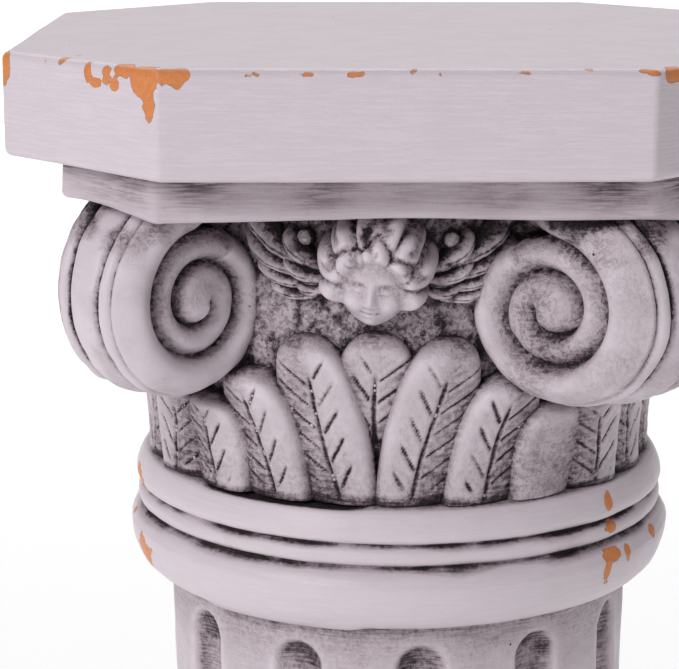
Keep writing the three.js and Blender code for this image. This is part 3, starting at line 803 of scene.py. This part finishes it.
def add_piece(name, shell, node, material, marks):
    """Puts a shell into a mesh object with its marks as attributes, hangs it under the root body and hides
    the CAD node that it stands for.
    """
    mesh = bpy.data.meshes.new(name)
    corners = np.concatenate([shell.quads.ravel(), shell.triangles.ravel()])
    quads = len(shell.quads)
    starts = np.concatenate([np.arange(quads) * 4, quads * 4 + np.arange(len(shell.triangles)) * 3])
    mesh.vertices.add(len(shell.points))
    mesh.vertices.foreach_set("co", (shell.points * MM).astype(np.float32).ravel())
    mesh.loops.add(len(corners))
    mesh.loops.foreach_set("vertex_index", corners.astype(np.int32))
    mesh.polygons.add(len(starts))
    mesh.polygons.foreach_set("loop_start", starts.astype(np.int32))
    mesh.polygons.foreach_set("use_smooth", np.ones(len(starts), bool))
    for mark, values in marks.items():
        mesh.attributes.new(mark, "FLOAT", "POINT").data.foreach_set("value", values.astype(np.float32))
    mesh.update(calc_edges=True)
    mesh.validate()
    mesh.materials.append(material)
    piece = placed(name, mesh)
    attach(piece, "root")
    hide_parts(node)


def linear(code):
    """An sRGB hex colour as linear red, green, blue and alpha."""
    parts = np.array([int(code[k : k + 2], 16) / 255 for k in (1, 3, 5)])
    return (*np.where(parts <= 0.04045, parts / 12.92, ((parts + 0.055) / 1.055) ** 2.4), 1)


def add_node(tree, kind, inputs=None, out=0, **settings):
    """Adds a shader node with its settings and gives its output; an input is a value or a socket to link."""
    node = tree.nodes.new("ShaderNode" + kind)
    for name, value in settings.items():
        setattr(node, name, value)
    for socket, value in (inputs or {}).items():
        if isinstance(value, bpy.types.NodeSocket):
            tree.links.new(value, node.inputs[socket])
        else:
            node.inputs[socket].default_value = value
    return node.outputs[out] if node.outputs else None


def antiqued_paint():
    """Off-white paint over a terracotta-coloured casting, brushed on in level strokes and rubbed with a dark
    wash that stays in the hollows. The eye sees a matt lilac-grey film with fine streaks, grime in carved
    lines and pits, bare orange where edges are knocked, and pinholes left by the mould. The same dark ramp
    also paints shade where the marks carry painted shade."""
    material = bpy.data.materials.new("antiqued_paint_on_terracotta")
    material.use_nodes = True
    tree = material.node_tree
    tree.nodes.clear()
    place = add_node(tree, "TexCoord", out="Object")
    grime_and_shade, chip, brush = (
        add_node(tree, "Attribute", attribute_name=mark, out="Fac") for mark in ("grime_and_shade", "chip", "brush")
    )
    blotches, crags, pits, ragged, grit = (
        add_node(tree, "TexNoise", {
            "Vector": place, "Scale": 1 / (size * MM), "Detail": 4, "Roughness": rough,
        })
        for size, rough in GRAINS.values()
    )
    # Level strokes, a little wavy; the fainter they are, the more carved the piece counts as
    along, upward = 1 / (STROKE.long * MM), 1 / (STROKE.high * MM)
    level = add_node(tree, "Mapping", {"Vector": place, "Scale": (along, along, upward)})
    strokes = add_node(tree, "TexNoise", {
        "Vector": level, "Scale": 1, "Detail": 3, "Roughness": 0.6, "Distortion": 0.3,
    })
    streak = add_node(
        tree, "MapRange", {"Value": strokes, "From Min": 0.42, "From Max": 0.6},
        interpolation_type="SMOOTHSTEP",
    )
    streak = add_node(tree, "Math", {0: streak, 1: brush}, operation="MULTIPLY")
    carved = add_node(tree, "Math", {0: brush, 1: -0.85, 2: 1.0}, operation="MULTIPLY_ADD")

    # The wash, with painted shade where the marks carry it: the marked darkening, made uneven by blotches,
    # smeared by the strokes and, where carved and dark, gathered between crags, in pits and in round craters
    # some 2 mm across, one in each cell
    dirt_and_shade = add_node(tree, "Math", {0: grime_and_shade, 1: 1.4, 2: 0.15}, operation="MULTIPLY_ADD", use_clamp=True)
    dirt_and_shade = add_node(tree, "Math", {0: dirt_and_shade, 1: carved}, operation="MULTIPLY")
    pit = add_node(tree, "MapRange", {"Value": pits, "From Min": 0.48, "From Max": 0.41})
    crater = add_node(tree, "TexVoronoi", {"Vector": place, "Scale": 1 / (CRATER_CELL * MM)}, out="Distance")
    crater = add_node(tree, "MapRange", {"Value": crater, "From Min": 0.28, "From Max": 0.2})
    crag = add_node(tree, "Math", {0: crags, 1: 0.5}, operation="SUBTRACT")
    crag, pit, crater = (
        add_node(tree, "Math", {0: mark, 1: dirt_and_shade}, operation="MULTIPLY") for mark in (crag, pit, crater)
    )
    smear = add_node(tree, "Math", {0: streak, 1: grime_and_shade}, operation="MULTIPLY")
    blotched = add_node(tree, "Math", {0: carved, 1: 0.45, 2: 0.15}, operation="MULTIPLY_ADD")
    cloud = add_node(tree, "Math", {0: blotches, 1: 0.5}, operation="SUBTRACT")
    held = add_node(tree, "Math", {0: cloud, 1: blotched, 2: grime_and_shade}, operation="MULTIPLY_ADD")
    for part, strength in ((crag, -1.5), (pit, 0.4), (crater, 0.35), (smear, 0.9)):
        held = add_node(tree, "Math", {0: part, 1: strength, 2: held}, operation="MULTIPLY_ADD")
    darkening = add_node(tree, "MapRange", {"Value": held, "From Min": -0.13, "From Max": 0.95})
    film = add_node(tree, "ValToRGB", {"Fac": darkening})
    stops = (
        (0.0, "#d8ccd4"), (0.12, "#cabdc5"), (0.26, "#bfb2b9"), (0.44, "#a5979e"), (0.63, "#74666d"),
        (0.82, "#493d43"), (1.0, "#2f272b"),
    )
    elements = film.node.color_ramp.elements
    for _ in stops[2:]:
        elements.new(0.5)
    for element, (position, code) in zip(elements, stops):
        element.position = position
        element.color = linear(code)
    share = add_node(tree, "Math", {0: streak, 1: 0.06}, operation="MULTIPLY")
    brushed = add_node(
        tree, "Mix", {0: share, 6: film, 7: linear("#8f8087")}, out=2,
        data_type="RGBA", blend_type="MULTIPLY",
    )

    # Pinholes, one in each cell, and chips where the mark and the ragged noise together pass a level
    cell = add_node(tree, "TexVoronoi", {"Vector": place, "Scale": 1 / (PINHOLE.cell * MM)}, out="Distance")
    pin = add_node(tree, "Math", {0: cell, 1: PINHOLE.radius / PINHOLE.cell}, operation="LESS_THAN")
    pinned = add_node(tree, "Mix", {0: pin, 6: brushed, 7: linear("#43383c")}, out=2, data_type="RGBA")
    torn = add_node(tree, "Math", {0: ragged, 1: 1.5, 2: chip}, operation="MULTIPLY_ADD")
    bare = add_node(
        tree, "MapRange", {"Value": torn, "From Min": 0.72, "From Max": 0.8},
        interpolation_type="SMOOTHSTEP",
    )
    clay = add_node(
        tree, "Mix", {0: pits, 6: linear("#c76a33"), 7: linear("#e59a5f")}, out=2, data_type="RGBA",
    )
    colour = add_node(tree, "Mix", {0: bare, 6: pinned, 7: clay}, out=2, data_type="RGBA")

    # Relief in mm: grit, strokes and crags, cut down in pits, craters, chips and pinholes
    relief = add_node(tree, "Math", {0: crag, 1: 4.5}, operation="MULTIPLY")
    heights = ((grit, 0.12), (streak, 0.06), (pit, -0.8), (crater, -1.0), (bare, -0.5), (pin, -0.6))
    for part, tall in heights:
        relief = add_node(tree, "Math", {0: part, 1: tall, 2: relief}, operation="MULTIPLY_ADD")
    bump = add_node(tree, "Bump", {"Height": relief, "Strength": 1, "Distance": MM})
    dull = add_node(tree, "Math", {0: darkening, 1: 0.3, 2: 0.4}, operation="MULTIPLY_ADD")
    shader = add_node(tree, "BsdfPrincipled", {
        "Base Color": colour, "Roughness": dull, "Normal": bump, "IOR": 1.47, "Specular IOR Level": 0.4,
    })
    add_node(tree, "OutputMaterial", {"Surface": shader})
    return material


def studio():
    """A pale floor that runs out of the picture, a broad key light from the front left, a light on the floor
    behind and a white room."""
    half, far = 20.0, 40.0
    corners = [(-half, -half, 0), (half, -half, 0), (half, far, 0), (-half, far, 0)]
    mesh = bpy.data.meshes.new("studio_floor")
    mesh.from_pydata(corners, [], [(0, 1, 2, 3)])
    white = bpy.data.materials.new("matt_white_floor")
    white.use_nodes = True
    shader = white.node_tree.nodes["Principled BSDF"]
    finish = {
        "Base Color": linear("#f9f9f9"), "Emission Color": linear("#ffffff"), "Emission Strength": 0.15,
        "Roughness": 1.0, "Specular IOR Level": 0.0,
    }
    for socket, value in finish.items():
        shader.inputs[socket].default_value = value
    mesh.materials.append(white)
    floor = placed("studio_floor", mesh)
    lamps = (
        # name, place and target in metres, size in metres, power in watts
        ("key_light", (-1.7, -2.15, 2.0), (0, 0, 0.55), 1.1, 42),
        ("floor_light", (0, 6, 5), (0, 6, 0), 8, 360),
    )
    for name, spot, target, size, power in lamps:
        lamp = bpy.data.lights.new(name, "AREA")
        lamp.shape = "DISK"
        lamp.size = size
        lamp.energy = power
        holder = placed(name, lamp)
        holder.location = spot
        aim = Vector(target) - Vector(spot)
        holder.rotation_euler = aim.to_track_quat("-Z", "Y").to_euler()
    world = bpy.data.worlds.new("white_room")
    world.use_nodes = True
    sky = world.node_tree.nodes["Background"]
    sky.inputs["Color"].default_value = linear("#ffffff")
    sky.inputs["Strength"].default_value = 0.34
    bpy.context.scene.world = world
    bpy.context.scene.view_settings.view_transform = "Standard"


def camera():
    """The photograph's view: a long lens about a metre off, looking a little down on the capital."""
    down, left = 12.62 * DEGREE, 0.61 * DEGREE
    lens = bpy.data.cameras.new("camera")
    lens.sensor_width = 36
    lens.lens = 123.27
    lens.clip_end = 100
    holder = placed("camera", lens)
    holder.location = (-14.6 * MM, -954.3 * MM, 746.25 * MM)
    holder.rotation_euler = (90 * DEGREE - down, 0, left)
    bpy.context.scene.camera = holder


def ornament_shells():
    """The bell with its heads and wings, the volutes and each side's leaves, by their pieces' names. The
    front alone has a mould's hole, a scroll at its right darkened with painted shade, and a leaf without
    veins."""
    ground = [bell_shell()]
    volutes = []
    leaves = {}
    for quarter, name in enumerate(("front", "right", "back", "left")):
        front = quarter == 0
        side_azimuth = CAPITAL_TURN + quarter * 90 * DEGREE
        ground.append(head_shell(side_azimuth, holed=front))
        # The scroll right of the front faces away from the key light, so it gets painted shade
        volutes.append(volute_shell(side_azimuth + 45 * DEGREE, wash_and_shade=VOLUTE_WASH_AND_SHADE.right * front))
        own = [leaf_shell(side_azimuth, BACK_LEAF, 0, 0)]
        for hand in (-1, 1):
            for row in FEATHER_ROWS:
                ground.append(wing_shell(side_azimuth, hand, row))
            knob = around(side_azimuth + hand * WING_KNOB.away, WING_KNOB.out, WING_KNOB.height)
            ground.append(ball_shell(knob, WING_KNOB.radius, WING_KNOB.etch))
            for rank, row in enumerate(LEAF_ROWS):
                plain = front and hand == 1 and rank == 2
                own.append(leaf_shell(side_azimuth, row, hand, 1 + rank, veined=not plain))
        own += blisters(joined(own), LEAF_BLISTERS, LEAF_BLISTERS.seed + quarter)
        leaves["leaves_" + name] = joined(own)
    volutes += blisters(joined(volutes), VOLUTE_BLISTERS, VOLUTE_BLISTERS.seed)
    return {"bell_heads_wings": joined(ground), "corner_volutes": joined(volutes), **leaves}


camera()
studio()
paint = antiqued_paint()

# Every shell by the name of its piece, with the CAD node it stands for
shells = {
    "slab": (slab_shell(SLAB, SLAB_FOOT, SLAB_TOP), "top_slab"),
    "abacus": (slab_shell(ABACUS, ABACUS_FOOT, CAPITAL_TOP), "capital"),
}
for name, shell in ornament_shells().items():
    shells[name] = (shell, "capital")
shells["fluted_column"] = (column_shell(), "column")
shells["plinth"] = (slab_shell(PLINTH, COLUMN_FOOT, PLINTH_TOP), "column")

tight, broad = hollows([shell for shell, _ in shells.values()], GATHER.cell, (GATHER.tight, GATHER.broad))
for (name, (shell, node)), near, wide in zip(shells.items(), tight, broad):
    held = sum(np.clip(hollow - GATHER.from_hollow, 0, 1) for hollow in (near, wide))
    rubbed = np.clip(-near - GATHER.from_edge, 0, GATHER.most_edge)
    # The darkening mark: each piece's own etch, which carries painted shade in places, plus wash held in
    # hollows and lost on edges
    marks = {
        "grime_and_shade": shell.etch + GATHER.hollow * held - GATHER.edge * rubbed,
        "chip": chip_depth(shell.points),
        "brush": np.full(len(shell.points), BRUSHED.get(name, LEAVES_BRUSHED)),
    }
    add_piece(name, shell, node, paint, marks)
